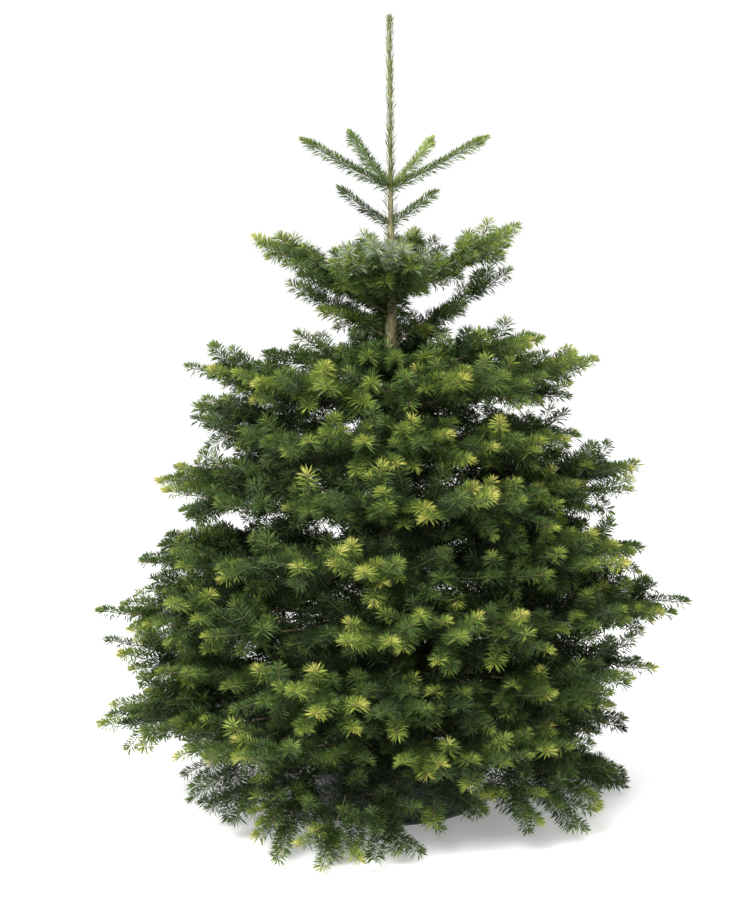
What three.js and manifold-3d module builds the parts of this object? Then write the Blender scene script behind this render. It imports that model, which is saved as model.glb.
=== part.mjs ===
// A cut fir, dressed as it comes from the grower, standing in a round water-basin stand.
// Sizes are in millimetres and angles in degrees. +Z is up, +X is to the right of a person who faces
// the tree and +Y points away from them. The origin is the centre of the stand's flat underside.
import * as THREE from "three";
import { mergeVertices } from "three/addons/utils/BufferGeometryUtils.js";
import Module from "manifold-3d";

const wasm = await Module();
wasm.setup();

// ---- Driving dimensions ----------------------------------------------------------------------
const TREE_TOP = 1900; // tip of the leader above the floor
const GAP = 3; // clearance between neighbouring solids

const BASIN = {
  footRadius: 203,
  footHeight: 9,
  rimRadius: 165,
  height: 130,
  wall: 5,
  floor: 12,
  lip: 4,
  sleeveRadius: 57,
  sleeveHeight: 128,
};
const SCREW = {
  height: 106,
  directions: [90, 210, 330],
  rodRadius: 4.5,
  rodEnd: 118,
  padRadius: 9,
  padThickness: 4,
  handleRadius: 3.5,
  handleLength: 44,
};

const TRUNK = {
  foot: BASIN.floor + 0.4,
  buttRadius: 39,
  leaderRadius: 4.5,
  tipRadius: 2.8,
  taper: 0.88,
  flare: 6,
  flareHeight: 40,
  swayRight: 5,
  swayBack: 4,
};
const LIMB = { radius: 8, endRadius: 5.5, end: 112 };

// One entry per tier of boughs, from the top. A bough's middle line leaves the trunk at height z and
// climbs by rise and bend: height = z + rise r + bend r r. towards holds each bough's direction in
// plan, counted from +X to the back, and reach its furthest tip. width and depth are half of the
// foliage's breadth and thickness, and lift is added to a bough's own rise. Single boughs are one
// shoot each. limbs counts the boughs, from the first, whose bare limb shows before the needles.
const TIERS = [
  { z: 1493, rise: 0.52, towards: [60, 122, 212, 330], reach: [254, 240, 246, 246], lift: [0.09, 0.15, -0.05, -0.06],
    width: 30, depth: 26, single: true },
  { z: 1406, rise: 0.67, towards: [175, 4], reach: [142, 122], width: 29, depth: 25, single: true },
  { z: 1228, rise: 0.5, towards: [184, 356, 262, 88], reach: [348, 318, 300, 320], lift: [-0.05, 0.12, -0.02, 0.03],
    width: 132, depth: 45, limbs: 2 },
  { z: 1132, rise: 0.52, towards: [8, 172, 95], reach: [315, 262, 290], width: 98, depth: 33, limbs: 1 },
  { z: 1045, rise: 0.26, towards: [208, 272, 340, 92], reach: [305, 350, 395, 380], lift: [-0.04, -0.2, -0.05, 0],
    width: 160, depth: 60 },
  { z: 955, rise: 0.28, towards: [4, 84, 178, 236, 302], reach: [505, 480, 472, 470, 480], width: 215, depth: 80 },
  { z: 840, rise: 0.2, towards: [334, 62, 160, 262], reach: [500, 500, 498, 505], lift: [-0.08, 0, 0.04, 0],
    width: 280, depth: 92 },
  { z: 715, rise: 0.14, towards: [8, 122, 184, 284], reach: [605, 580, 575, 585], lift: [0, 0, -0.06, 0],
    width: 310, depth: 95 },
  { z: 590, rise: 0.1, towards: [340, 62, 176, 250], reach: [640, 620, 648, 605], lift: [-0.04, 0, -0.12, 0.02],
    width: 320, depth: 92 },
  { z: 465, rise: 0.06, towards: [2, 118, 196, 284], reach: [720, 655, 680, 640], lift: [-0.02, 0, -0.01, 0],
    width: 330, depth: 90 },
  { z: 345, rise: 0.04, towards: [336, 60, 172, 256], reach: [655, 660, 692, 650], lift: [0, 0, -0.03, 0],
    width: 330, depth: 84 },
  { z: 245, rise: 0.06, bend: -0.00014, towards: [14, 92, 178, 230, 294], reach: [618, 620, 735, 640, 620],
    lift: [-0.05, 0, -0.05, 0, 0], width: 280, depth: 76 },
  { z: 182, rise: 0.13, bend: -0.00062, towards: [318, 20, 112, 208, 255], reach: [590, 640, 570, 580, 620],
    lift: [0.05, 0.02, 0, 0.09, 0], width: 270, depth: 72 },
];
const PLAN_ROUNDNESS = 0.45; // how fast a mass swells from its foot and tip, 0 for blunt and 1 for pointed
const EDGE_ROUNDNESS = 0.36; // the same for its thickness
const LOBES = 3.4; // swellings along each mass, where side shoots come in layers
const SWELL = 0.1; // share by which a swelling stands out
const UNEVEN = 0.16; // how far a mass's surface wanders from its smooth form
const LIFT_SPREAD = 0.1; // how much the boughs of a tier differ in rise
const ROLL = 0.14; // how far a bough's spray may tip to one side
const FLOOR_CLEARANCE = 14; // the lowest needles above the floor
const RIM_CLEARANCE = 14; // the lowest needles above the basin's rim
const SKIRT_START = 60; // outside the basin, where boughs may hang below its rim

// ---- Materials -------------------------------------------------------------------------------
const bark = new THREE.MeshStandardMaterial({ color: "#6b6045", roughness: 0.85, metalness: 0 });
const needles = new THREE.MeshStandardMaterial({ color: "#33472a", roughness: 0.6, metalness: 0 });
const moulded = new THREE.MeshStandardMaterial({ color: "#2b302f", roughness: 0.55, metalness: 0 });
const steel = new THREE.MeshStandardMaterial({ color: "#8b8f92", roughness: 0.35, metalness: 1 });

// ---- Solids ----------------------------------------------------------------------------------
const radians = THREE.MathUtils.degToRad;

// A closed three.js geometry as a manifold-3d solid, and back.
function solidOf(geometry) {
  const bare = geometry.clone();
  bare.deleteAttribute("normal");
  bare.deleteAttribute("uv");
  const merged = mergeVertices(bare, 1e-3);
  const vertProperties = merged.attributes.position.array;
  const triVerts = new Uint32Array(merged.index.array);
  return new wasm.Manifold(new wasm.Mesh({ numProp: 3, vertProperties, triVerts }));
}

function geometryOf(solid) {
  const { vertProperties, triVerts } = solid.getMesh();
  const geometry = new THREE.BufferGeometry();
  geometry.setAttribute("position", new THREE.BufferAttribute(vertProperties, 3));
  geometry.setIndex(new THREE.BufferAttribute(triVerts, 1));
  geometry.computeVertexNormals();
  return geometry;
}

// Moves every vertex of a geometry to the place that the function gives for it.
function reshape(geometry, placeOf) {
  const points = geometry.attributes.position;
  for (let i = 0; i < points.count; i++) {
    points.setXYZ(i, ...placeOf(points.getX(i), points.getY(i), points.getZ(i)));
  }
  return geometry;
}

// A repeatable number from 0 to 1 for each pair of seeds.
function scatter(a, b) {
  const n = Math.sin(a * 12.9898 + b * 78.233) * 43758.5453;
  return n - Math.floor(n);
}

function meshOf(name, geometry, material) {
  const mesh = new THREE.Mesh(geometry, material);
  mesh.name = name;
  return mesh;
}

// ---- Trunk -----------------------------------------------------------------------------------
function trunkRadius(z) {
  const leaderFoot = TIERS[0].z;
  const leader = Math.max(0, z - leaderFoot) / (TREE_TOP - leaderFoot);
  const older = Math.pow(Math.max(0, 1 - z / leaderFoot), TRUNK.taper);
  return (
    THREE.MathUtils.lerp(TRUNK.leaderRadius, TRUNK.tipRadius, leader) +
    (TRUNK.buttRadius - TRUNK.leaderRadius) * older +
    TRUNK.flare * Math.exp(-z / TRUNK.flareHeight)
  );
}

function trunkAxis(z) {
  const share = z / TREE_TOP;
  return [TRUNK.swayRight * Math.sin(Math.PI * share), TRUNK.swayBack * Math.sin(2 * Math.PI * share)];
}

// The trunk as a ten-sided column that follows its axis, grown by the given clearance.
function trunkGeometry(clearance) {
  const column = new THREE.CylinderGeometry(1, 1, 1, 10, 24);
  const foot = TRUNK.foot - clearance;
  return reshape(column, (x, y, z) => {
    const height = foot + (TREE_TOP + clearance - foot) * (y + 0.5);
    const [right, back] = trunkAxis(height);
    const radius = trunkRadius(height) + clearance;
    return [right + radius * x, back - radius * z, height];
  });
}

const trunkCutter = solidOf(trunkGeometry(0.5));

// ---- Boughs and foliage ----------------------------------------------------------------------
const SIDES = ["right", "back_right", "back", "back_left", "left", "front_left", "front", "front_right"];

function sideName(direction) {
  return SIDES[Math.round(direction / 45) % SIDES.length];
}

// A bough's own part in its rise.
function liftOf(index, k) {
  const { lift, single } = TIERS[index];
  return (lift ? lift[k] : 0) + (single ? 0 : LIFT_SPREAD * (scatter(k, index + 3) - 0.5));
}

// Height of a tier's middle line at distance r from the trunk's axis, with a bough's own lift.
function middle(tier, r, lift = 0) {
  return tier.z + (tier.rise + lift) * r + (tier.bend ?? 0) * r * r;
}

// The heights at distance r that a tier's foliage keeps between: halfway to the tier above, and halfway
// to the tier below or the least height above the floor or the basin's rim.
function ceiling(index, r) {
  return index === 0 ? Infinity : (middle(TIERS[index - 1], r) + middle(TIERS[index], r)) / 2 - GAP;
}

function ground(index, r) {
  const lowest = r < BASIN.footRadius + SKIRT_START ? BASIN.height + RIM_CLEARANCE : FLOOR_CLEARANCE;
  const next = TIERS[index + 1];
  return next ? Math.max(lowest, (middle(TIERS[index], r) + middle(next, r)) / 2 + GAP) : lowest;
}

// Half of the angle in plan to the next bough of the tier, on one side of bough k.
function halfSector(tier, k, sign) {
  const gaps = tier.towards
    .filter((_, i) => i !== k)
    .map((direction) => ((sign * (direction - tier.towards[k])) % 360 + 360) % 360);
  return Math.min(80, Math.min(...gaps) / 2);
}

// Foliage of bough k: a ball drawn out along the bough's middle line, broad and thin like the spray
// that its side shoots make, with a swelling for each layer of them, and rolled a little to one side.
function foliageGeometry(index, k, start) {
  const tier = TIERS[index];
  const reach = tier.reach[k];
  const lift = liftOf(index, k);
  const roll = ROLL * (2 * scatter(index, k + 9) - 1);
  const around = tier.single ? 6 : 8;
  const along = tier.single ? 6 : 9;
  const ball = new THREE.SphereGeometry(1, around, along);
  return reshape(ball, (x, y, z) => {
    const station = Math.round((Math.acos(THREE.MathUtils.clamp(y, -1, 1)) / Math.PI) * along);
    const share = station / along;
    const r = start + (reach - start) * share;
    const line = THREE.MathUtils.clamp(middle(tier, r, lift), ground(index, r), ceiling(index, r));
    if (station === 0 || station === along) return [r, 0, line];
    const angle = Math.atan2(z, x);
    const column = Math.round((angle / (2 * Math.PI)) * around + around) % around;
    const arch = Math.sin(Math.PI * Math.pow(share, 1.08));
    const swell = 1 + SWELL * Math.cos(2 * Math.PI * (LOBES * share + scatter(index, k)));
    const wander = 1 + UNEVEN * (scatter(index * 31 + k * 7 + station, column) - 0.5);
    const sector = Math.tan(radians(halfSector(tier, k, Math.sign(x) || 1)));
    const breadth = Math.min(tier.width * Math.pow(arch, PLAN_ROUNDNESS) * swell * wander, r * sector - GAP);
    const across = breadth * Math.cos(angle);
    const thickness = tier.depth * Math.pow(arch, EDGE_ROUNDNESS) * swell * wander;
    const height = line + roll * across + thickness * Math.sin(angle);
    const away = Math.hypot(r, across);
    return [r, across, THREE.MathUtils.clamp(height, ground(index, away), ceiling(index, away))];
  });
}

// Bare foot of bough k: a tapering limb from inside the trunk to where the needles begin.
function limbGeometry(index, k) {
  const tier = TIERS[index];
  const lift = liftOf(index, k);
  const stick = new THREE.CylinderGeometry(1, 1, 1, 8, 4);
  const slope = Math.atan(tier.rise + lift);
  return reshape(stick, (x, y, z) => {
    const share = y + 0.5;
    const r = LIMB.end * share;
    const radius = THREE.MathUtils.lerp(LIMB.radius, LIMB.endRadius, share);
    return [r - radius * z * Math.sin(slope), -radius * x, middle(tier, r, lift) + radius * z * Math.cos(slope)];
  });
}

// Cuts a bough's solid, which lies along +X from the trunk's axis before it is turned to its direction,
// round the trunk.
function cutRoundTrunk(geometry, direction, [right, back]) {
  const cutter = trunkCutter.translate([-right, -back, 0]).rotate([0, 0, -direction]);
  return geometryOf(solidOf(geometry).subtract(cutter));
}

function boughs() {
  const group = new THREE.Group();
  TIERS.forEach((tier, index) => {
    const number = String(index + 1).padStart(2, "0");
    const axis = trunkAxis(tier.z);
    tier.towards.forEach((direction, k) => {
      const hasLimb = k < (tier.limbs ?? 0);
      const start = hasLimb ? LIMB.end + GAP : 0.45 * trunkRadius(tier.z);
      const foliage = cutRoundTrunk(foliageGeometry(index, k, start), direction, axis);
      const pieces = [meshOf(`foliage_${number}_${sideName(direction)}`, foliage, needles)];
      if (hasLimb) {
        const limb = cutRoundTrunk(limbGeometry(index, k), direction, axis);
        pieces.push(meshOf(`bough_${number}_${sideName(direction)}`, limb, bark));
      }
      for (const piece of pieces) {
        piece.rotation.z = radians(direction);
        piece.position.set(...axis, 0);
        group.add(piece);
      }
    });
  });
  return group;
}

// ---- Stand -----------------------------------------------------------------------------------
// The basin's section from the axis outwards: a flat underside, a wall that leans in to a rolled
// rim, a flat floor, and a sleeve that stands round the butt of the trunk.
function basinGeometry() {
  const b = BASIN;
  const lean = (b.footRadius - b.rimRadius) / (b.height - b.footHeight);
  const innerFoot = b.footRadius - b.wall * 1.6 - lean * (b.floor - b.footHeight);
  const section = [
    [0, 0],
    [b.footRadius - 2, 0],
    [b.footRadius, 2],
    [b.footRadius, b.footHeight],
    [b.footRadius - 4, b.footHeight + 3],
    [b.rimRadius, b.height - 8],
    [b.rimRadius + b.lip, b.height - 5],
    [b.rimRadius + b.lip, b.height - 1],
    [b.rimRadius + b.lip - 2, b.height],
    [b.rimRadius - b.wall, b.height],
    [b.rimRadius - b.wall, b.height - 8],
    [innerFoot, b.floor],
    [b.sleeveRadius, b.floor],
    [b.sleeveRadius, b.sleeveHeight],
    [b.sleeveRadius - b.wall, b.sleeveHeight],
    [b.sleeveRadius - b.wall, b.floor],
    [0, b.floor],
  ];
  const points = section.map(([r, z]) => new THREE.Vector2(r, z));
  return new THREE.LatheGeometry(points, 32).rotateX(Math.PI / 2);
}

// A rod along +X from one radius to another, at the screws' height.
function rod(radius, from, to, sides = 10) {
  const cylinder = new THREE.CylinderGeometry(radius, radius, to - from, sides);
  return cylinder.rotateZ(-Math.PI / 2).translate((from + to) / 2, 0, SCREW.height);
}

// A clamping screw: a round pad against the bark, a threaded rod and a cross handle.
function screwGeometry() {
  const padStart = trunkRadius(SCREW.height) + TRUNK.swayRight;
  const padEnd = padStart + SCREW.padThickness;
  const handle = new THREE.CylinderGeometry(SCREW.handleRadius, SCREW.handleRadius, SCREW.handleLength, 8);
  handle.translate(SCREW.rodEnd - SCREW.handleRadius * 1.5, 0, SCREW.height);
  return geometryOf(
    solidOf(rod(SCREW.padRadius, padStart, padEnd, 12))
      .add(solidOf(rod(SCREW.rodRadius, padEnd - 1, SCREW.rodEnd)))
      .add(solidOf(handle)),
  );
}

function stand() {
  const group = new THREE.Group();
  const hole = solidOf(rod(SCREW.rodRadius + 0.6, BASIN.sleeveRadius - 15, BASIN.sleeveRadius + 15));
  let basin = solidOf(basinGeometry());
  SCREW.directions.forEach((direction, i) => {
    basin = basin.subtract(hole.rotate([0, 0, direction]));
    const screw = meshOf(`stand_screw_${i + 1}`, screwGeometry(), steel);
    screw.rotation.z = radians(direction);
    group.add(screw);
  });
  group.add(meshOf("stand_basin", geometryOf(basin), moulded));
  return group;
}

// ---- Assembly --------------------------------------------------------------------------------
const tree = new THREE.Group();
tree.add(meshOf("trunk", trunkGeometry(0), bark));
tree.add(boughs());
tree.add(stand());

export default tree;
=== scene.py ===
import bpy
import numpy as np
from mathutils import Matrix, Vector


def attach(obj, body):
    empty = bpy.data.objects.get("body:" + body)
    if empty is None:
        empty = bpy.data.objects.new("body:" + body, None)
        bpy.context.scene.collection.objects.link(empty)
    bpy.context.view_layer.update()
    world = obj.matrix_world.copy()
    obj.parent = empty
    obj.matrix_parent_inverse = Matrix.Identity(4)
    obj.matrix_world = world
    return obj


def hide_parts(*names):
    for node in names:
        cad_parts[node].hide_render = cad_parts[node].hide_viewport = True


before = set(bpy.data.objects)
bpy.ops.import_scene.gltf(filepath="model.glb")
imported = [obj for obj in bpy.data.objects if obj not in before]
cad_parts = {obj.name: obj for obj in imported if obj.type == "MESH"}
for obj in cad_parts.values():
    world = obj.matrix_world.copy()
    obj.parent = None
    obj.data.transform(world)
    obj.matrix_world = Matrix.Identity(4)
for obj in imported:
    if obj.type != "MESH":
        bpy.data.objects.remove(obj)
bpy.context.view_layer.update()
scene = bpy.context.scene

# ---- Stand: basin ----------------------------------------------------------------------------
# The water basin the tree stands in: one injection-moulded shell of dark polypropylene, with a wide
# foot, a wall that leans in to a rolled rim, and a sleeve in the middle that takes the butt.
MM = 0.001
BASIN_SECTION = [
    (0, 0), (195, 0), (200.5, 0.6), (203, 3), (203, 7), (201.5, 9.5), (198.8, 12), (196, 17),
    (187, 52), (176.5, 92), (167.5, 119), (166.6, 122.5), (168.8, 124.2), (169, 128), (167.6, 130),
    (161.5, 130), (160, 128), (160, 122), (171, 84), (184, 32), (186.5, 13.5), (182, 12), (62, 12),
    (58.2, 13), (57, 16), (57, 126), (56, 128), (53, 128), (52, 126), (52, 14), (50, 12), (0, 12),
]  # radius and height in millimetres, from the middle of the underside outwards and back in
BASIN_SIDES = 144


def linear(colour):
    """An sRGB hex colour as linear red, green, blue and alpha 1, by the sRGB curve."""
    values = [int(colour[i:i + 2], 16) / 255 for i in (1, 3, 5)]
    return [v / 12.92 if v <= 0.04045 else ((v + 0.055) / 1.055) ** 2.4 for v in values] + [1.0]


def fill_inputs(node, inputs):
    """Gives each named input of a shader node its value, or links an output to it."""
    for name, value in inputs.items():
        if isinstance(value, bpy.types.NodeSocket):
            node.id_data.links.new(value, node.inputs[name])
        else:
            node.inputs[name].default_value = value


def add_node(material, kind, inputs=None, **settings):
    """Adds one shader node, sets its properties and fills its inputs."""
    node = material.node_tree.nodes.new(kind)
    for name, value in settings.items():
        setattr(node, name, value)
    fill_inputs(node, inputs or {})
    return node


def new_material(name):
    """An empty node material and its Principled shader, wired to the output."""
    material = bpy.data.materials.new(name)
    material.use_nodes = True
    material.node_tree.nodes.clear()
    shader = add_node(material, "ShaderNodeBsdfPrincipled")
    add_node(material, "ShaderNodeOutputMaterial", {"Surface": shader.outputs["BSDF"]})
    return material, shader


def colours(material, factor, *stops):
    """A colour ramp over factor, through (place, hex colour) stops."""
    ramp = add_node(material, "ShaderNodeValToRGB", {"Fac": factor})
    while len(ramp.color_ramp.elements) < len(stops):
        ramp.color_ramp.elements.new(0.5)
    for element, (place, colour) in zip(ramp.color_ramp.elements, stops):
        element.position = place
        element.color = linear(colour)
    return ramp.outputs["Color"]


def surface(name, points, corners, material, smooth=True):
    """A mesh piece on the root body, from an array of points and an array of the corners of each face."""
    mesh = bpy.data.meshes.new(name)
    mesh.vertices.add(len(points))
    mesh.vertices.foreach_set("co", np.asarray(points, np.float32).ravel())
    mesh.loops.add(corners.size)
    mesh.loops.foreach_set("vertex_index", np.asarray(corners, np.int32).ravel())
    mesh.polygons.add(len(corners))
    mesh.polygons.foreach_set("loop_start", np.arange(len(corners), dtype=np.int32) * corners.shape[1])
    mesh.update(calc_edges=True)
    (mesh.shade_smooth if smooth else mesh.shade_flat)()
    mesh.materials.append(material)
    piece = bpy.data.objects.new(name, mesh)
    scene.collection.objects.link(piece)
    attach(piece, "root")
    return piece


def turned(section, sides):
    """A section of (radius, height) turned about Z: each point goes round a circle of its radius. The
    two ends lie on the axis and are one point each."""
    section = np.array(section) * MM
    angle = np.linspace(0, 2 * np.pi, sides, endpoint=False)
    radius, height = section[1:-1, 0, None], section[1:-1, 1, None]
    rings = np.stack([radius * np.cos(angle), radius * np.sin(angle), height + 0 * angle], -1)
    points = np.vstack([rings.reshape(-1, 3), [[0, 0, section[0, 1]], [0, 0, section[-1, 1]]]])
    ring = np.arange(len(section) - 2)[:, None] * sides + np.arange(sides)
    after = np.roll(ring, -1, axis=1)
    walls = [np.stack([ring[:-1], after[:-1], after[1:]], -1),
             np.stack([ring[:-1], after[1:], ring[1:]], -1)]
    first, last = np.full(sides, ring.size), np.full(sides, ring.size + 1)
    ends = [np.stack([first, after[0], ring[0]], -1), np.stack([last, ring[-1], after[-1]], -1)]
    return points, np.vstack([part.reshape(-1, 3) for part in walls + ends])


# Polypropylene, moulded and spark-eroded to a fine grain: dark, a little blue, softly shiny. The grain
# is drawn 1.1 mm wide, which is coarser than the real one, so that it shows. The scuffs are 60 mm wide.
GRAIN_PER_METRE, SCUFFS_PER_METRE = 900.0, 16.0
polypropylene, shader = new_material("moulded polypropylene")
place = add_node(polypropylene, "ShaderNodeTexCoord").outputs["Object"]
grain = add_node(polypropylene, "ShaderNodeTexNoise",
                 {"Vector": place, "Scale": GRAIN_PER_METRE, "Detail": 3.0})
scuffs = add_node(polypropylene, "ShaderNodeTexNoise",
                  {"Vector": place, "Scale": SCUFFS_PER_METRE, "Detail": 8.0})
tone = colours(polypropylene, scuffs.outputs["Fac"], (0.3, "#232a2a"), (0.7, "#2e3636"))
rough = add_node(polypropylene, "ShaderNodeMapRange",
                 {"Value": scuffs.outputs["Fac"], "To Min": 0.38, "To Max": 0.55})
bump = add_node(polypropylene, "ShaderNodeBump",
                {"Height": grain.outputs["Fac"], "Strength": 0.15, "Distance": 0.0003})
fill_inputs(shader, {"Base Color": tone, "Roughness": rough.outputs["Result"], "IOR": 1.49,
                     "Normal": bump.outputs["Normal"]})

basin = surface("water_basin", *turned(BASIN_SECTION, BASIN_SIDES), polypropylene)
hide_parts("stand_basin")

# ---- Stand: clamping screws ------------------------------------------------------------------
# Three zinc-plated steel screws run through the sleeve and press round pads against the bark. They
# are the CAD's own solids, with a plated finish.

# Zinc plate on drawn steel: a light grey metal, with cloudy duller patches about 8 mm across.
CLOUDS_PER_METRE = 120.0
zinc, shader = new_material("zinc-plated steel")
place = add_node(zinc, "ShaderNodeTexCoord").outputs["Object"]
clouds = add_node(zinc, "ShaderNodeTexNoise", {"Vector": place, "Scale": CLOUDS_PER_METRE, "Detail": 6.0})
tone = colours(zinc, clouds.outputs["Fac"], (0.3, "#8d9194"), (0.7, "#b6b9b8"))
rough = add_node(zinc, "ShaderNodeMapRange", {"Value": clouds.outputs["Fac"], "To Min": 0.28, "To Max": 0.5})
fill_inputs(shader, {"Base Color": tone, "Metallic": 1.0, "Roughness": rough.outputs["Result"]})
for name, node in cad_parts.items():
    if name.startswith("stand_screw"):
        node.data.materials.clear()
        node.data.materials.append(zinc)

# ---- Trunk -----------------------------------------------------------------------------------
# The stem, from the saw cut in the basin to the end bud of the leader: young fir bark, smooth and
# olive to grey-brown, with the pegs of old needles, resin blisters and a collar at each whorl.
TOP = 1.9  # height of the leader's end
FOOT = 0.0124  # the saw cut stands on the basin's floor
BUTT, LEADER, TIP = 0.039, 0.0045, 0.0028  # radii above the flare, at the leader's foot and at its end
TAPER = 0.88  # power of the older trunk's taper
FLARE, FLARE_HEIGHT = 0.006, 0.040  # what the flare adds at the floor, and the height over which it fades
SWAY = (0.005, 0.004)  # how far the trunk leans from the straight, to the right and to the back
# Heights of the whorls of boughs, from the leader's foot down.
WHORLS = np.array([1.493, 1.406, 1.228, 1.132, 1.045, 0.955, 0.84, 0.715, 0.59, 0.465, 0.345, 0.245, 0.182])
TRUNK_RINGS, TRUNK_SIDES = 1100, 30
END_GAP = 0.002  # left at the top for the cone that closes the stem
SEED = 20
NOISE_VALUES = 4096
SCATTER = (73856093, 19349663, 83492791)  # primes that spread the cells of space over the noise values
STEEP = 0.8  # a path that rises by this share of its length is framed on X instead of Z
END_CONE = 0.6  # height of the cone that closes a tube, in radii of its end
RIPPLE, FINE_RIPPLE, PEG = 0.007, 0.0028, 0.0036  # widths of the bark's ripples and of its needle pegs
RIPPLE_HEIGHT, PEG_HEIGHT = 0.035, 0.22  # as shares of the stem's radius
DRAWN_OUT, PEG_DRAWN_OUT = [1, 1, 0.35], [1, 1, 0.8]  # scales that make the noise longer in height
PEG_FROM = 0.35  # level of the noise above which there is a peg
COLLAR, COLLAR_HEIGHT = 0.16, 0.012  # swelling at a whorl, as a share of the radius, and its spread


def stem_axis(z):
    """The middle of the trunk at height z: half a wave to the right and a whole wave to the back."""
    share = np.asarray(z) / TOP
    return np.stack([SWAY[0] * np.sin(np.pi * share), SWAY[1] * np.sin(2 * np.pi * share)], -1)


def stem_radius(z):
    """The trunk's radius at height z: along the leader a straight taper, below it a power of the height
    still to go to the leader's foot, and a flare at the saw cut."""
    z = np.asarray(z)
    leader = np.clip((z - WHORLS[0]) / (TOP - WHORLS[0]), 0, 1)
    older = np.clip(1 - z / WHORLS[0], 0, 1) ** TAPER
    return LEADER + (TIP - LEADER) * leader + (BUTT - LEADER) * older + FLARE * np.exp(-z / FLARE_HEIGHT)


def value_noise(points, size, seed):
    """Smooth noise from -1 to 1: random values on a grid of cubes of the given size, eased between."""
    table = np.random.default_rng(seed).uniform(-1, 1, NOISE_VALUES)
    cell = points / size
    low = np.floor(cell).astype(np.int64)
    share = cell - low
    share = share * share * (3 - 2 * share)
    total = np.zeros(len(points))
    for corner in np.ndindex(2, 2, 2):
        at = low + corner
        code = (at[:, 0] * SCATTER[0]) ^ (at[:, 1] * SCATTER[1]) ^ (at[:, 2] * SCATTER[2])
        weight = np.prod(np.where(corner, share, 1 - share), axis=1)
        total += weight * table[code % NOISE_VALUES]
    return total


def tubes(paths, radii, sides, relief=None):
    """Closed round tubes, one for each path: at each point a ring of the given radius lies across the
    path; its start is flat and a low cone closes its end. relief, a function of points and radii, adds
    to the radius."""
    count, steps = paths.shape[:2]
    along = np.gradient(paths, axis=1)
    along /= np.linalg.norm(along, axis=2, keepdims=True)
    ends = paths[:, -1] - paths[:, 0]
    steep = np.abs(ends[:, 2:3]) >= STEEP * np.linalg.norm(ends, axis=1, keepdims=True)
    reference = np.where(steep, [[1.0, 0, 0]], [[0, 0, 1.0]])
    across = np.cross(along, reference[:, None])
    across /= np.linalg.norm(across, axis=2, keepdims=True)
    upward = np.cross(across, along)
    angle = np.linspace(0, 2 * np.pi, sides, endpoint=False)[:, None]
    spoke = across[:, :, None] * np.cos(angle) + upward[:, :, None] * np.sin(angle)
    ring = paths[:, :, None] + spoke * radii[:, :, None, None]
    if relief is not None:
        broad = np.broadcast_to(radii[:, :, None], ring.shape[:3])
        ring += spoke * relief(ring.reshape(-1, 3), broad.ravel()).reshape(ring.shape[:3])[..., None]
    tips = np.stack([paths[:, 0], paths[:, -1] + along[:, -1] * radii[:, -1:] * END_CONE], 1)
    points = np.concatenate([ring.reshape(count, -1, 3), tips], 1)
    low = np.arange(steps - 1)[:, None] * sides + np.arange(sides)
    low_next = np.arange(steps - 1)[:, None] * sides + np.roll(np.arange(sides), -1)
    walls = [np.stack([low, low + sides, low_next + sides], -1),
             np.stack([low, low_next + sides, low_next], -1)]
    start, finish = np.full(sides, steps * sides), np.full(sides, steps * sides + 1)
    last = (steps - 1) * sides
    caps = [np.stack([start, low[0], low_next[0]], -1),
            np.stack([finish, last + low_next[0], last + low[0]], -1)]
    one = np.vstack([part.reshape(-1, 3) for part in walls + caps])
    corners = one[None] + np.arange(count)[:, None, None] * points.shape[1]
    return points.reshape(-1, 3), corners.reshape(-1, 3)


def bark_relief(points, radii):
    """How far young fir bark stands out: ripples drawn out in height, finer ones half as high on them,
    and the noise's peaks as the pegs of old needles."""
    ripples = value_noise(points * DRAWN_OUT, RIPPLE, SEED)
    ripples = ripples + 0.5 * value_noise(points, FINE_RIPPLE, SEED + 1)
    pegs = np.clip(value_noise(points * PEG_DRAWN_OUT, PEG, SEED + 2) - PEG_FROM, 0, 1)
    return radii * (RIPPLE_HEIGHT * ripples + PEG_HEIGHT * pegs)


def stem_relief(points, radii):
    """Bark, with a swelling at each whorl of boughs that falls off with height as a bell curve."""
    nearest = np.min(np.abs(points[:, 2:3] - WHORLS), axis=1)
    return bark_relief(points, radii) + radii * COLLAR * np.exp(-((nearest / COLLAR_HEIGHT) ** 2))


# Fir bark a few years old: smooth and dull, olive to grey-brown in long patches 11 mm wide, with pale
# flecks of 2.4 mm.
PATCHES_PER_METRE, FLECKS_PER_METRE = 90.0, 420.0
bark, shader = new_material("young fir bark")
place = add_node(bark, "ShaderNodeTexCoord").outputs["Object"]
drawn = add_node(bark, "ShaderNodeMapping", {"Vector": place, "Scale": (1.0, 1.0, 0.3)}).outputs["Vector"]
patches = add_node(bark, "ShaderNodeTexNoise", {"Vector": drawn, "Scale": PATCHES_PER_METRE, "Detail": 5.0})
flecks = add_node(bark, "ShaderNodeTexNoise", {"Vector": place, "Scale": FLECKS_PER_METRE, "Detail": 3.0})
mixed = add_node(bark, "ShaderNodeMath", {0: patches.outputs["Fac"], 1: flecks.outputs["Fac"]},
                 operation="MULTIPLY")
tone = colours(bark, mixed.outputs["Value"],
               (0.10, "#3d3526"), (0.24, "#6f6748"), (0.36, "#8f8862"), (0.5, "#b2aa86"))
bump = add_node(bark, "ShaderNodeBump",
                {"Height": flecks.outputs["Fac"], "Strength": 0.5, "Distance": 0.0008})
fill_inputs(shader, {"Base Color": tone, "Roughness": 0.75, "Normal": bump.outputs["Normal"]})

ring_heights = np.linspace(FOOT, TOP - END_GAP, TRUNK_RINGS)
stem_path = np.column_stack([stem_axis(ring_heights), ring_heights])[None]
stem_tube = tubes(stem_path, stem_radius(ring_heights)[None], TRUNK_SIDES, stem_relief)
trunk = surface("trunk_bark", *stem_tube, bark)
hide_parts("trunk")

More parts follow.
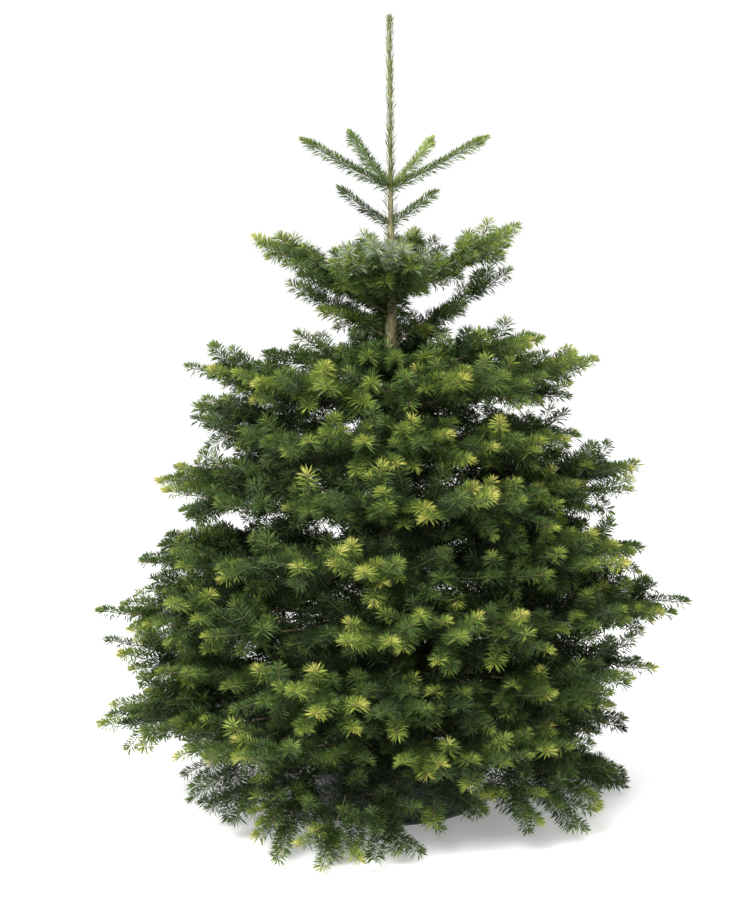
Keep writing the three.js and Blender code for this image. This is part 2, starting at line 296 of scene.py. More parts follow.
# ---- Boughs: how they branch -----------------------------------------------------------------
# A fir's bough adds one straight shoot at its end each year, and at each yearly joint side shoots,
# which branch in the same way. Each bough grows to the outline of its own foliage solid, a broad one
# with a lesser bough on each side, and a limb starts only where the shoots round it leave it light.
YEAR = 0.13  # a year's growth of a main bough
SIDE_YEAR = 0.108  # a year's growth of a side limb
YEAR_VARIES = (0.88, 1.12)  # one year's growth against the bough's mean
LAST_YEAR = 0.9  # the newest shoot of a bough of three years or more, against its mean
SIDE_ANGLE, ANGLE_VARIES = np.radians(50), 0.12  # between a side limb and its parent
RATIO = (0.92, 0.85, 0.75)  # the most a side limb grows in a year against its parent, by the parent's order
DEEPEST = 3  # the order of the last side limbs, with the bough's at 0
SHORTEST_YEAR, SHORTEST_LIMB, LONGEST_LIMB = 0.03, 0.045, 0.5
# How much a heading of length 1 wanders in a year, on a bough and on a limb, and how much a limb's rises.
BOUGH_WANDER, LIMB_WANDER, TURN_UP = 0.035, 0.07, 0.05
LANE_REACHED = 0.55  # share of the reach by which a lesser bough is in its lane
HANG = 0.05  # the deepest that a shoot hangs below the straight, as a share of its length
OLD_HANG = 0.2  # what is left of that on older wood
ON_TOP, UNDERNEATH = 0.8, 0.7  # the chance of a limb above and of one below each joint
SIDE_ROLL, MIDDLE_ROLL = 0.4, 0.5  # how much the rolls of limbs at a joint vary, in radians
BETWEEN, LESSER = 2, 0.8  # how many lesser limbs leave between two joints, and their share of the growth
BETWEEN_AT, BETWEEN_ROLL = (0.3, 0.75), (0.7, 2.4)  # where along the shoot they leave, and their roll
EDGE = 1.2  # how far a shoot's wood may reach, with the solid's surface at 1
THINNEST = 0.006  # least half-depth of a solid's section
AXIS_CLEARANCE = 0.01  # distance from the trunk's axis at which a solid's near end counts
BEYOND = 50  # how fast fill rises past either end of a solid, for each metre
FREE_STEPS, FREE_START = 25, 4  # places tested along a new shoot; the first ones may lie outside
TIP_NEEDLES, YOUNG_TIP = 0.008, 0.020  # how far needles stand out beyond the wood of an old or young bough
# The boughs of one mass: each one's place across it as a share of its half-breadth, its share of the
# mass's reach, and the least half-breadth of a mass that has it.
LANES = ((0.0, 1.0, 0.0), (-0.42, 0.98, 0.12), (0.42, 0.98, 0.12), (-0.82, 0.88, 0.22), (0.82, 0.88, 0.22))
ROOM = 0.06  # side of the cubes of space in which shoots are counted
CROWD, YOUNG_CROWD = 1.68, 6.0  # the mean count above which no limb starts, on old and on young boughs
COUNTED_AT = np.array([[0.3], [0.65], [1.0]])  # places along a shoot that are counted
LOOK_AHEAD = (0.05, 0.1)  # distances along a new limb at which the count is read
SECTION_GAP = 0.006  # a step between points along the bough that parts two sections
SECTION_POINTS, SECTION_BREADTH = 6, 0.01  # the least that makes a section
FOOT_HALF_BREADTH, FOOT_HALF_DEPTH = 0.02, 0.015  # of the row at the trunk
END_HALF_BREADTH, END_HALF_DEPTH = 0.004, 0.008  # of the row at the end
rng = np.random.default_rng(SEED)


def unit(vector):
    """A vector scaled to length 1."""
    return vector / np.linalg.norm(vector)


def outline_of(node, needles):
    """A foliage solid as sections across its bough: the bough's direction in plan, and one row for each
    section with its distance from the trunk, its half-breadths to the left and right, its tilt, and its
    top and bottom. A row is added at the trunk and one at the end. The wood's reach stops short of the
    solid's end by what its needles stand out."""
    points = np.empty(len(node.data.vertices) * 3, np.float32)
    node.data.vertices.foreach_get("co", points)
    points = np.unique(np.round(points.reshape(-1, 3).astype(float), 5), axis=0)
    middle = stem_axis(points[:, 2].min())
    plan = points[:, :2] - middle
    tip = plan[np.argmax(np.hypot(*plan.T))]
    forward = unit(tip)
    left = np.array([-forward[1], forward[0]])
    away, side, height = plan @ forward, plan @ left, points[:, 2]
    order = np.argsort(away)
    groups = np.split(order, np.flatnonzero(np.diff(away[order]) > SECTION_GAP) + 1)
    rows = []
    for group in groups:
        if len(group) < SECTION_POINTS or np.ptp(side[group]) < SECTION_BREADTH:
            continue
        far_left, far_right = group[np.argmax(side[group])], group[np.argmin(side[group])]
        spread = side[far_left] - side[far_right]
        tilt = (height[far_left] - height[far_right]) / spread
        rows.append([away[group].mean(), side[far_left], -side[far_right], tilt,
                     height[group].max(), height[group].min()])
    end = groups[-1][0]
    rows = np.array(rows)
    first = rows[0].copy()
    first[0], first[1:3] = 0.0, FOOT_HALF_BREADTH
    slope = (rows[1, 4:] - rows[0, 4:]).mean() / (rows[1, 0] - rows[0, 0])
    first[4:] = rows[0, 4:].mean() - slope * rows[0, 0] + np.array([FOOT_HALF_DEPTH, -FOOT_HALF_DEPTH])
    last = [away[end], END_HALF_BREADTH, END_HALF_BREADTH, rows[-1, 3],
            height[end] + END_HALF_DEPTH, height[end] - END_HALF_DEPTH]
    rows = np.vstack([first, rows, last])
    return {"middle": middle, "forward": forward, "left": left, "reach": away[end] - needles, "rows": rows}


def middle_height(mass, away):
    """Height of the solid's middle line at a distance from the trunk."""
    rows = mass["rows"]
    return np.interp(away, rows[:, 0], (rows[:, 4] + rows[:, 5]) / 2)


def fill(mass, points):
    """How near points are to the solid's surface: 0 on its middle line and 1 on its surface, by the
    ellipse of its section there, and more past the reach of its wood or close to the trunk's axis."""
    plan = points[..., :2] - mass["middle"]
    away, side = plan @ mass["forward"], plan @ mass["left"]
    rows = mass["rows"]
    at = [np.interp(away, rows[:, 0], rows[:, i]) for i in range(1, 6)]
    breadth = np.where(side > 0, at[0], at[1])
    depth = np.maximum((at[3] - at[4]) / 2, THINNEST)
    above = points[..., 2] - (at[3] + at[4]) / 2 - at[2] * side
    past_end = np.clip(away - mass["reach"], 0, None) * BEYOND
    beyond = past_end + np.clip(AXIS_CLEARANCE - away, 0, None) * BEYOND
    return np.hypot(side / breadth, above / depth) + beyond


def free_run(mass, start, heading, longest):
    """How far a shoot can go from start before it leaves the solid."""
    steps = np.linspace(0, longest, FREE_STEPS)
    outside = fill(mass, start + heading * steps[:, None]) > EDGE
    outside[:FREE_START] = False
    return steps[np.argmax(outside) - 1] if outside.any() else longest


def turn(heading, angle, roll):
    """A side shoot's direction: the parent's, bent by angle towards the side that roll gives, counted
    from straight up round the parent."""
    across = np.cross(heading, [0, 0, 1.0])
    across = unit(across) if np.linalg.norm(across) > 1e-3 else np.array([1.0, 0, 0])
    upward = np.cross(across, heading)
    side = np.cos(roll) * upward + np.sin(roll) * across
    return np.cos(angle) * heading + np.sin(angle) * side


shoots = []  # one row for each year's shoot: start, end, bend, age, order, and 1 for a frosted bough
crowd = {}  # how many samples of shoots lie in each cube of space


def crowding(points):
    """The mean number of shoot samples in the cubes of space that hold the points."""
    return np.mean([crowd.get(tuple(cell), 0) for cell in np.floor(points / ROOM).astype(int)])


def grow(mass, foot, length, years, lane, crowd_limit, frosted):
    """Adds a bough of so many yearly shoots and all its side limbs, the oldest first: each year's end is
    the start, plus its length along a heading. The bough's own heading follows its lane of the solid, and
    a side limb's wanders and turns up a little. At each joint a limb as old as the joint leaves to each
    side, younger ones often leave above and below, and lesser ones leave between the joints."""
    side_line = lane * mass["rows"][:, 1:3].max()
    limbs = [(foot, None, length, years, 0)]
    while limbs:
        point, heading, length, years, order = limbs.pop(0)
        step = length / years
        for age in range(years - 1, -1, -1):
            long = step * rng.uniform(*YEAR_VARIES) * (LAST_YEAR if age == 0 and years > 2 else 1.0)
            if order == 0:
                away = min((point[:2] - mass["middle"]) @ mass["forward"] + long, mass["reach"])
                aside = side_line * min(1.0, away / (LANE_REACHED * mass["reach"]))
                goal = np.append(mass["middle"] + mass["forward"] * away + mass["left"] * aside, 0)
                goal[2] = middle_height(mass, away)
                heading = unit(goal - point) + rng.normal(0, BOUGH_WANDER, 3)
            else:
                heading = heading + rng.normal(0, LIMB_WANDER, 3) + np.array([0, 0, TURN_UP])
                if fill(mass, point + unit(heading) * long) > EDGE:
                    long = min(long, free_run(mass, point, unit(heading), long))
                if long < SHORTEST_YEAR:
                    break
            heading = unit(heading)
            bend = HANG * long * (rng.uniform(OLD_HANG, 1.0) if age == 0 else OLD_HANG)
            end = point + heading * long
            shoots.append([*point, *end, bend, age, order, frosted])
            for cell in np.floor((point + (end - point) * COUNTED_AT) / ROOM).astype(int):
                crowd[tuple(cell)] = crowd.get(tuple(cell), 0) + 1
            if age > 0 and order < DEEPEST:
                for side in (-1, 1):
                    roll = side * np.pi / 2 + rng.normal(0, SIDE_ROLL)
                    add_side(limbs, mass, end, heading, step, age, order, roll, crowd_limit)
                for chance, middle_roll in ((ON_TOP, 0), (UNDERNEATH, np.pi)):
                    if rng.random() < chance:
                        roll = middle_roll + rng.normal(0, MIDDLE_ROLL)
                        add_side(limbs, mass, end, heading, step, min(age, 2), order, roll, crowd_limit)
                for _ in range(BETWEEN if order < 2 else 0):
                    joint = point + heading * long * rng.uniform(*BETWEEN_AT)
                    roll = rng.choice([-1, 1]) * rng.uniform(*BETWEEN_ROLL)
                    add_side(limbs, mass, joint, heading, step * LESSER, age, order, roll, crowd_limit)
            point = end


def add_side(limbs, mass, joint, heading, step, years, order, roll, crowd_limit):
    """Starts a side limb, unless the solid's surface or other shoots are too near. It is as long as its
    years of growth give, or as its free run to the surface."""
    side = unit(turn(heading, SIDE_ANGLE + rng.normal(0, ANGLE_VARIES), roll))
    length = min(years * step * RATIO[order], free_run(mass, joint, side, LONGEST_LIMB))
    near, far = LOOK_AHEAD
    ahead = joint + side * np.array([[near], [min(length, far)]])
    if length < SHORTEST_LIMB or crowding(ahead) > crowd_limit:
        return
    limbs.append((joint, side, length, max(1, min(years, round(length / SIDE_YEAR))), order + 1))


YOUNG_TIERS = {"01": 1, "02": 1, "03": 3, "04": 3}  # years of growth of the boughs of the top tiers
FEWEST_YEARS = 2  # of the boughs of the other tiers
FROSTED = "foliage_03_front"  # the foremost high bough, silvery with bloom
tiers = {name: name.split("_")[1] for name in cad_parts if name.startswith("foliage")}
masses = {name: outline_of(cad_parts[name], YOUNG_TIP if tier in YOUNG_TIERS else TIP_NEEDLES)
          for name, tier in tiers.items()}
for name in sorted(masses):
    mass = masses[name]
    crowd_limit = YOUNG_CROWD if tiers[name] in YOUNG_TIERS else CROWD
    foot = np.append(mass["middle"], middle_height(mass, 0))
    breadth = mass["rows"][:, 1:3].max()
    for lane, share, least_breadth in LANES:
        if breadth < least_breadth:
            continue
        end_height = middle_height(mass, mass["reach"] * share)
        end = np.append(mass["middle"] + mass["forward"] * mass["reach"] * share, end_height)
        length = np.linalg.norm(end - foot)
        years = YOUNG_TIERS.get(tiers[name], max(FEWEST_YEARS, round(length / YEAR)))
        grow(mass, foot, length, years, lane, crowd_limit, name == FROSTED)
shoots = np.array(shoots)
# The outer shoots of the lowest boughs sag under their weight: fully below the first height and beyond
# the second distance from the trunk.
SAG, SAG_HEIGHTS, SAG_DISTANCES = 0.035, [0.12, 0.2], [0.4, 0.6]
for at in (0, 3):
    out = np.hypot(shoots[:, at], shoots[:, at + 1])
    low = np.interp(shoots[:, at + 2], SAG_HEIGHTS, [1, 0])
    shoots[:, at + 2] -= SAG * low * np.interp(out, SAG_DISTANCES, [0, 1])
LOWEST = 0.016  # a shoot that comes down to the floor lies on it
shoots[:, [2, 5]] = np.maximum(shoots[:, [2, 5]], LOWEST)
starts, ends = shoots[:, 0:3], shoots[:, 3:6]
bends, ages, orders, frosted = shoots[:, 6], *shoots[:, 7:10].T.astype(int)
lengths = np.linalg.norm(ends - starts, axis=1)


def shoot_path(share):
    """Points along every shoot: the straight line from its start to its end, hanging below it by a
    parabola, so that the end turns up."""
    hang = 4 * share * (1 - share) * bends[:, None]
    path = starts[:, None] + (ends - starts)[:, None] * np.reshape(share, (1, -1, 1))
    path[..., 2] -= hang
    return path


NEW_WOOD, RING, RING_POWER = 0.0013, 0.0011, 1.15
ORDER_RADIUS = np.array([1, 0.8, 0.68, 0.6])  # against the bough's own wood


def wood_radius(age, order):
    """Radius of a limb: a new shoot's, plus a ring's width times a power of the age, less at each order."""
    return (NEW_WOOD + RING * np.asarray(age) ** RING_POWER) * ORDER_RADIUS[order]


# ---- Boughs: the main limbs ------------------------------------------------------------------
# The leading limb of every bough, a year's joint at a time, with the same bark as the trunk. It is
# thickest at its collar on the trunk and ends where the last year's shoot begins.
LIMB_STEPS, LIMB_SIDES = 16, 9
leading = (orders == 0) & (ages > 0)
share = np.linspace(0, 1, LIMB_STEPS)
thick, thin = wood_radius(ages[leading], 0), wood_radius(ages[leading] - 1, 0)
radii = thick[:, None] + (thin - thick)[:, None] * share
limbs = surface("bough_bark", *tubes(shoot_path(share)[leading], radii, LIMB_SIDES, bark_relief), bark)
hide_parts(*[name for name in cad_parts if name.startswith("bough")])

# ---- Twigs -----------------------------------------------------------------------------------
# The side limbs of earlier years, which are nearly bare, and this year's shoots at the ends of boughs
# and limbs, which are thin and straight and hidden by their needles.
OLD_STEPS, NEW_STEPS, TWIG_SIDES = 5, 3, 4
NEW_TAPER = 0.7  # a new shoot's radius at its bud against its foot
# Bark of earlier years, dull and dark brown, and of this year's shoots, a little smoother and olive.
# Both are thin and mostly hidden by needles, so each is one colour.
old_wood, shader = new_material("fir twig bark")
fill_inputs(shader, {"Base Color": linear("#3a3121"), "Roughness": 0.8})
new_wood, shader = new_material("new fir shoot bark")
fill_inputs(shader, {"Base Color": linear("#57522e"), "Roughness": 0.65})

for name, pick, steps, material in (
    ("twigs_old", (orders > 0) & (ages > 0), OLD_STEPS, old_wood),
    ("twigs_new", ages == 0, NEW_STEPS, new_wood),
):
    share = np.linspace(0, 1, steps)
    thick = wood_radius(ages[pick], orders[pick])
    younger = wood_radius(np.maximum(ages[pick] - 1, 0), orders[pick])
    thin = np.where(ages[pick] > 0, younger, NEW_TAPER * thick)
    radii = thick[:, None] + (thin - thick)[:, None] * share
    twigs = surface(name, *tubes(shoot_path(share)[pick], radii, TWIG_SIDES), material)

# ---- Buds ------------------------------------------------------------------------------------
# Each shoot ends in a small blunt bud, wrapped in overlapping scales that are glued with resin. The
# leader ends in a crown of larger buds: one in the middle and five round it.
BUD, BUD_RADII = 0.0045, (0.0010, 0.0015, 0.0009)  # radii at its foot, its middle and its end
CROWN_BUD, CROWN_BUD_RADII = 0.009, (0.0018, 0.0026, 0.0014)
CROWN_BUDS, CROWN_SPREAD, CROWN_DROP = 5, 0.55, 1.9  # spread and drop in lengths of a crown bud
# Bud scales under a film of resin: orange-brown and fairly shiny.
bud_scales, shader = new_material("resinous bud scales")
fill_inputs(shader, {"Base Color": linear("#7d6a38"), "Roughness": 0.45})
last = shoot_path(np.array([0.97, 1.0]))[ages == 0]
forward = last[:, 1] - last[:, 0]
forward /= np.linalg.norm(forward, axis=1, keepdims=True)
bud_stations = np.array([0.0, 0.55 * BUD, 0.9 * BUD]).reshape(1, 3, 1)
bud_path = last[:, 1:2] + forward[:, None] * bud_stations
bud_radii = np.tile(BUD_RADII, (len(bud_path), 1))
around = 2 * np.pi * np.arange(CROWN_BUDS) / CROWN_BUDS
ring_of_buds = np.column_stack([CROWN_SPREAD * np.cos(around), CROWN_SPREAD * np.sin(around), 0 * around])
outward = np.vstack([[0, 0, 0.3], ring_of_buds])[:, None] * np.array([0.35, 1.0, 1.15]).reshape(1, 3, 1)
rising = np.array([[0, 0, 0.0], [0, 0, 0.6], [0, 0, 0.95]])
crown_foot = np.append(stem_axis(TOP), TOP - CROWN_DROP * CROWN_BUD)
crown_path = crown_foot + CROWN_BUD * (outward + rising)
bud_path = np.concatenate([bud_path, crown_path])
bud_radii = np.vstack([bud_radii, np.tile(CROWN_BUD_RADII, (len(crown_path), 1))])
buds = surface("buds", *tubes(bud_path, bud_radii, TWIG_SIDES), bud_scales)

# ---- Needles ---------------------------------------------------------------------------------
# Flat blunt fir needles, dark above and paler below, set round each shoot in a spiral. On a level
# shoot they part underneath and sweep up at the sides. Young needles are yellow-green.
PER_METRE = 1860  # needles on each metre of this year's shoots
KEPT = np.array([1.0, 0.75, 0.45, 0.24, 0.12, 0.06, 0.05, 0.05])  # share still there at each age
SHADED = 0.42  # share of the needles that shoots deep in the crown keep
LIT_FROM, LIT_POWER = 1.05, 0.3  # above this height limbs stand in full light, and KEPT has this power
NEEDLE, NEEDLE_WIDTH = 0.0305, 0.0020  # before each needle's own variation
ORDER_LENGTH = np.array([1.04, 1.0, 0.95, 0.9])  # a needle's length on a bough and on each order of limb
TIP_SHARE, TIP_FROM = 0.22, 0.88  # this share of a new shoot's needles stand beyond TIP_FROM of its length
PAST_BUD = 1.005  # the last needle's place, so that a tuft covers the bud
GOLDEN = np.pi * (3 - np.sqrt(5))  # the angle from one needle of the spiral to the next
PARTING = 0.22  # share of the round left bare under a level shoot
SWEEP = 0.2  # how far the needles beside a level shoot sweep up
DEPTH = 0.001  # how far from the middle of its shoot a needle starts
SPIRAL_VARIES, FACE_VARIES = 0.25, 0.25
SHOOT_SIZES, NEEDLE_SIZES, WIDTHS, CURLS = (0.88, 1.1), (0.9, 1.06), (0.85, 1.1), (-0.3, 1.0)
TOP_SHORTER, FOOT_SHORTER, TIP_SHORTER = 0.2, 0.15, 0.22  # on a level shoot's top, a new one's foot and tip
# A needle's widest place and its bend there and at its tip, as shares of its length, and its fold, as a
# share of its width.
WIDEST, BOW, CURL, FOLD = 0.56, 0.06, 0.1, 0.1
# The angle between a needle and its shoot: along it, more at its foot, and less at its tip and on its top.
LEAN, FOOT_LEAN, TIP_LEAN, TOP_LEAN = np.radians([74, 6, 44, 18])
# The single shoots at the top of the crown, from this height: more needles, shorter and more pressed.
SINGLE_FROM, SINGLE_DENSITY, SINGLE_LENGTH, SINGLE_LEAN = 1.42, 1.25, 0.86, np.radians(54)
# The crown's outline: its greatest radius, how much it widens for each metre down, and its radius at TOP.
CROWN_RADIUS, CROWN_SLOPE, CROWN_TIP = 0.72, 0.5, 0.04
# Where in the crown the painted light in the needles' colour and the light that keeps needles set in and are
# full, and from where to where the front, towards the lamp, gets more painted light.
PAINTED_LIGHT_RANGE, LIGHT_BETWEEN, FRONT_BETWEEN = (0.45, 0.95), (0.38, 0.78), (-0.4, 0.7)


def blades(root, direction, face, length, width, curl):
    """One flat needle for each root point: two triangles with a common edge from the root to the tip,
    the root plus the length along the direction. The corners beside them, a little past halfway, lie
    half the width to each side, and are lifted towards the face by the bow and the fold."""
    side = np.cross(direction, face)
    side /= np.linalg.norm(side, axis=1, keepdims=True)
    face = np.cross(side, direction)
    lift = BOW * curl * length + FOLD * width
    half = root + direction * (WIDEST * length)[:, None] + face * lift[:, None]
    tip = root + direction * length[:, None] - face * (CURL * curl * length)[:, None]
    wide = side * (0.5 * width)[:, None]
    return np.stack([root, half - wide, tip, half + wide], 1)


def smooth_step(value, low, high):
    """0 below low, 1 above high, and an eased rise between."""
    share = np.clip((value - low) / (high - low), 0, 1)
    return share * share * (3 - 2 * share)


# How far out in the crown each shoot lies, from 0 at the trunk to 1 at the outline, and from that how
# well it is lit, and how much painted light its needles' colour gets: painted shade deep in the crown,
# painted light at the outline, most at the front, towards the lamp.
middles = (starts + ends) / 2
high = middles[:, 2]
crown = np.minimum(CROWN_RADIUS, CROWN_SLOPE * (TOP - high) + CROWN_TIP)
outside = np.hypot(*middles[:, :2].T) / crown
painted_light_share = smooth_step(outside, *PAINTED_LIGHT_RANGE) * (0.5 + 0.5 * smooth_step(-ends[:, 1] / crown, *FRONT_BETWEEN))
lit = np.maximum(smooth_step(outside, *LIGHT_BETWEEN), high > LIT_FROM)

# How many needles each shoot has, and each needle's place along its shoot.
single = (orders == 0) & (ages == 0) & (high > SINGLE_FROM)
kept = KEPT[ages] ** np.where(high > LIT_FROM, LIT_POWER, 1.0)
density = lengths * PER_METRE * kept * np.where(single, SINGLE_DENSITY, 1.0)
counts = np.round(density * (SHADED + (1 - SHADED) * lit)).astype(int)
owner = np.repeat(np.arange(len(shoots)), counts)
number = np.arange(len(owner)) - np.repeat(np.cumsum(counts) - counts, counts)
share = (number + rng.random(len(owner))) / counts[owner]
newest = ages[owner] == 0
along_new = np.interp(share, [0, 1 - TIP_SHARE, 1], [0, TIP_FROM, PAST_BUD])
share = np.where(newest, along_new, share)

# The shoot's point, direction, side and upward side at each needle, and how level it is there.
run = (ends - starts)[owner] / lengths[owner, None]
slope = -4 * (1 - 2 * share) * bends[owner] / lengths[owner]
point = starts[owner] + (ends - starts)[owner] * share[:, None]
point[:, 2] -= 4 * share * (1 - share) * bends[owner]
along = run + np.array([0, 0, 1.0]) * slope[:, None]
along /= np.linalg.norm(along, axis=1, keepdims=True)
across = np.cross(along, [0, 0, 1.0]) + [1e-4, 0, 0]
across /= np.linalg.norm(across, axis=1, keepdims=True)
upward = np.cross(across, along)
level = np.clip(1.25 - 1.25 * np.abs(along[:, 2]), 0, 1)

# Each needle's direction: round the shoot by the spiral, and away from it by its lean.
turned_by = np.mod(GOLDEN * number + rng.normal(0, SPIRAL_VARIES, len(owner)), 2 * np.pi) - np.pi
turned_by *= 1 - PARTING * level
top, beside = np.cos(turned_by), np.sin(turned_by)
on_top = np.clip(top, 0, 1)
spoke = upward * top[:, None] + across * beside[:, None]
lean = np.where(single[owner], SINGLE_LEAN, LEAN) + FOOT_LEAN * (1 - smooth_step(share, 0, 0.15))
lean -= TIP_LEAN * smooth_step(share, TIP_FROM, 1.0) * newest + TOP_LEAN * on_top * level
lean += rng.normal(0, 1, len(owner)) * np.radians(7 + 7 * smooth_step(share, 0.9, 1.0) * newest)
direction = along * np.cos(lean)[:, None] + spoke * np.sin(lean)[:, None]
direction += upward * (SWEEP * level * np.abs(beside))[:, None]
direction /= np.linalg.norm(direction, axis=1, keepdims=True)
face = upward * 0.6 + along * 0.6 + rng.normal(0, FACE_VARIES, (len(owner), 3))

# Each needle's length: shorter on top of a level shoot, and at a new shoot's foot and tip.
size = rng.uniform(*SHOOT_SIZES, len(shoots))[owner] * rng.uniform(*NEEDLE_SIZES, len(owner))
size *= 1 - TOP_SHORTER * on_top * level
at_foot, at_tip = 1 - smooth_step(share, 0.0, 0.12), smooth_step(share, 0.86, 1.0)
size *= 1 - (FOOT_SHORTER * at_foot + TIP_SHORTER * at_tip) * newest
size *= ORDER_LENGTH[orders[owner]] * np.where(single[owner], SINGLE_LENGTH, 1.0)
width = NEEDLE_WIDTH * rng.uniform(*WIDTHS, len(owner))
curl = rng.uniform(*CURLS, len(owner))
needles = blades(point + spoke * DEPTH, direction, face, NEEDLE * size, width, curl)

# How young a needle looks, with painted light and shade mixed in: its age makes this year's shoots
# younger, most towards their tips; painted light adds at the outside and front of the crown, on the
# limbs near the top and on the lowest limbs, and painted shade takes away deep inside. Some new shoots
# end in gold, more of them and more strongly where the painted light is.
YOUTH = np.array([0.3, 0.16, 0.08, 0.02, 0.0, 0.0, 0.0, 0.0])  # of a shoot in full painted light, at each age
GOLD_SHARE, GOLD_BELOW = 0.55, 1.15  # share of the new shoots in full painted light with golden tips, and their top height
NEW_GOLD, PAINTED_LIGHT_GOLD, TIP_GOLD = 0.12, 0.2, 0.36  # what each new shoot gains towards its tip, and what painted light and a golden tip add
SINGLE_GOLD = 0.2  # the same for the single shoots at the top
HIGH_PAINTED_LIGHT, LOW_PAINTED_LIGHT = 0.2, 0.07  # painted light gained by the high limbs and by the lit low ones
SHOOT_VARIES, NEEDLE_VARIES = 0.09, 0.05
TONES = [0.23, 0.43, 0.59, 0.8]  # where one kind of needle gives way to the next
PALE = 5  # the kind of needle that shows its pale underside or its bloom
UNDERSIDES_FROM, UNDERSIDES_SHARE = 1.3, 0.28  # height above which undersides show, and how many do
BLOOM_FROM, BLOOM_SHARE = 1.332, 0.7  # the same for the bloom of the frosted bough
youth_and_painted_light = YOUTH[ages] * (0.45 + 0.55 * painted_light_share)
youth_and_painted_light += HIGH_PAINTED_LIGHT * smooth_step(high, 0.98, 1.2) + LOW_PAINTED_LIGHT * smooth_step(-high, -0.4, -0.2) * painted_light_share
youth_and_painted_light += rng.normal(0, SHOOT_VARIES, len(shoots))
golden = rng.random(len(shoots)) < GOLD_SHARE * painted_light_share * (high < GOLD_BELOW)
gold = (NEW_GOLD + PAINTED_LIGHT_GOLD * painted_light_share + TIP_GOLD * golden) * (ages == 0)
gold[single] = SINGLE_GOLD
tipward = 0.4 * smooth_step(share, 0.4, 0.85) + 0.6 * smooth_step(share, 0.88, 0.99)
tone = youth_and_painted_light[owner] + gold[owner] * tipward
tone += rng.normal(0, NEEDLE_VARIES, len(owner))
kinds = np.digitize(tone, TONES)
underside = (needles[:, 0, 2] > UNDERSIDES_FROM) & (top < 0.2) & (rng.random(len(owner)) < UNDERSIDES_SHARE)
silvery = (frosted[owner] == 1) & (needles[:, 0, 2] > BLOOM_FROM) & (rng.random(len(owner)) < BLOOM_SHARE)
kinds[underside | silvery] = PALE

# The needles of the stem itself: pressed to the leader, and standing off the older wood below it. Those
# of the last 3 cm are shorter.
STEM_FROM, STEM_NEEDLES = 1.04, 1000  # the height of the lowest, and how many there are
LEADER_LEAN, OLD_STEM_LEAN, LEAN_VARIES = 24, 46, 9  # degrees from the stem
STEM_TO, STEM_LAST = TOP - 0.006, TOP - 0.01  # where the spiral ends, and the most after its variation
stem_height = np.linspace(STEM_FROM, STEM_TO, STEM_NEEDLES) + rng.normal(0, 0.003, STEM_NEEDLES)
stem_height = np.minimum(stem_height, STEM_LAST)
angle = GOLDEN * np.arange(STEM_NEEDLES) + rng.normal(0, 0.3, STEM_NEEDLES)
spoke = np.column_stack([np.cos(angle), np.sin(angle), 0 * angle])
lean = np.radians(np.where(stem_height > WHORLS[0], LEADER_LEAN, OLD_STEM_LEAN))
lean = lean + rng.normal(0, np.radians(LEAN_VARIES), STEM_NEEDLES)
under_bark = 0.8 * stem_radius(stem_height)
root = np.column_stack([stem_axis(stem_height), stem_height]) + spoke * under_bark[:, None]
direction = spoke * np.sin(lean)[:, None] + np.array([0, 0, 1.0]) * np.cos(lean)[:, None]
long = NEEDLE * rng.uniform(0.6, 0.95, STEM_NEEDLES) * (1 - 0.6 * smooth_step(stem_height, TOP - 0.03, TOP))
width = np.full(STEM_NEEDLES, NEEDLE_WIDTH)
curl = rng.uniform(-0.2, 0.6, STEM_NEEDLES)
stem_needles = blades(root, direction, np.array([0, 0, 1.0]) + spoke, long, width, curl)
needles = np.concatenate([needles, stem_needles])
kinds = np.concatenate([kinds, rng.choice([1, 2, PALE], STEM_NEEDLES, p=[0.45, 0.35, 0.2])])

# Needles that would reach into the floor or the basin are left out.
FLOOR_CLEARANCE = 0.003
WALL_HEIGHTS, WALL_RADII = [0.0, 0.012, 0.13, 0.1301], [0.207, 0.203, 0.173, 0.0]  # round the basin
wall = np.interp(needles[..., 2], WALL_HEIGHTS, WALL_RADII)
clear = (needles[..., 2] > FLOOR_CLEARANCE) & (np.hypot(needles[..., 0], needles[..., 1]) > wall)
clear = clear.all(axis=1)
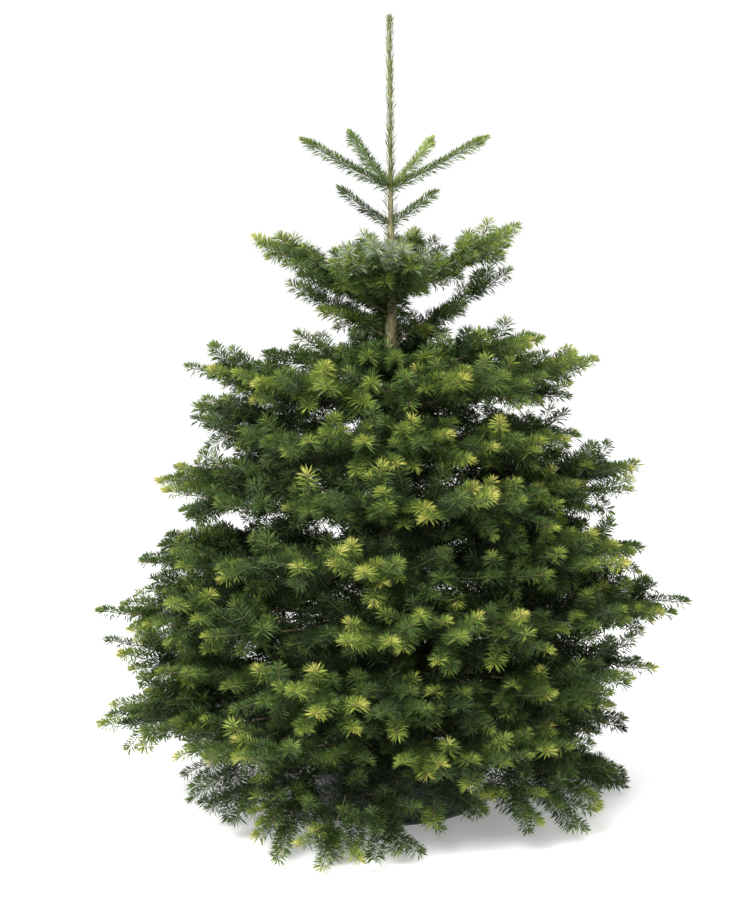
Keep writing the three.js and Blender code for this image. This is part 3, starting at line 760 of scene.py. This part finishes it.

# A fir needle's waxy skin: softly shiny, from the dark green of older years through this year's green
# to the yellow-green of the newest tips, and grey-green where a pale underside or bloom shows. The kind
# that each needle takes also carries painted shade deep in the crown and painted light at its outside,
# front, top and lowest limbs, so the darkest kind stands for old and shaded needles and the lightest for
# young and lit ones. Each is one colour, because a needle 2 mm wide shows no pattern.
NEEDLE_KINDS = (("needles_old_and_shaded", "#28371c"), ("needles_green", "#455a29"), ("needles_fresh_and_lit", "#687a33"),
                ("needles_bright", "#88953f"), ("needles_young_and_lit", "#aeac58"), ("needles_pale", "#848e78"))
MOST = 98000  # needles in one piece
stood_for = sorted(masses)
for kind, (name, colour) in enumerate(NEEDLE_KINDS):
    material, shader = new_material(name.replace("_", " "))
    fill_inputs(shader, {"Base Color": linear(colour), "Roughness": 0.5, "Specular IOR Level": 0.25})
    chosen = np.flatnonzero((kinds == kind) & clear)
    for part, first in enumerate(range(0, len(chosen), MOST)):
        some = needles[chosen[first:first + MOST]]
        corner = np.arange(len(some))[:, None, None] * 4 + np.array([[0, 1, 2], [0, 2, 3]])
        piece = surface(f"{name}_{part + 1}", some.reshape(-1, 3), corner.reshape(-1, 3), material,
                        smooth=False)
        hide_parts(*stood_for)

# ---- Floor, light and camera -----------------------------------------------------------------
# A pale studio floor with a little light coming through it, a white room round it, and one large soft
# light above, to the left and in front.
paper, shader = new_material("pale paper floor")
fill_inputs(shader, {"Base Color": linear("#fcfcfb"), "Roughness": 0.9,
                     "Emission Color": linear("#ffffff"), "Emission Strength": 0.22})
HALF = 30.0  # half the floor's side
floor_corners = [(-HALF, -HALF, 0), (HALF, -HALF, 0), (HALF, HALF, 0), (-HALF, HALF, 0)]
floor_mesh = bpy.data.meshes.new("floor")
floor_mesh.from_pydata(floor_corners, [], [(0, 1, 2, 3)])
floor_mesh.materials.append(paper)
floor = bpy.data.objects.new("floor", floor_mesh)
scene.collection.objects.link(floor)

world = bpy.data.worlds.new("white room")
world.use_nodes = True
fill_inputs(world.node_tree.nodes["Background"], {"Color": (1.0, 1.0, 1.0, 1.0), "Strength": 1.05})
scene.world = world
scene.view_settings.view_transform = "Standard"

AIM = Vector((0, 0, 0.9))  # the middle of the tree
lamp = bpy.data.lights.new("soft light", "AREA")
lamp.shape, lamp.size, lamp.size_y, lamp.energy = "RECTANGLE", 4.4, 3.4, 540.0
light = bpy.data.objects.new("soft light", lamp)
light.location = (-2.2, -3.5, 4.3)
light.rotation_euler = (AIM - light.location).to_track_quat("-Z", "Y").to_euler()
scene.collection.objects.link(light)

PITCH = 5.585  # degrees below the level
lens = bpy.data.cameras.new("camera")
lens.sensor_width, lens.lens = 36.0, 76.93
lens.clip_start, lens.clip_end = 0.1, 200.0
camera = bpy.data.objects.new("camera", lens)
camera.location = (-0.0388, -4.6, 1.32)
camera.rotation_euler = (np.radians(90 - PITCH), 0, 0)
scene.collection.objects.link(camera)
scene.camera = camera
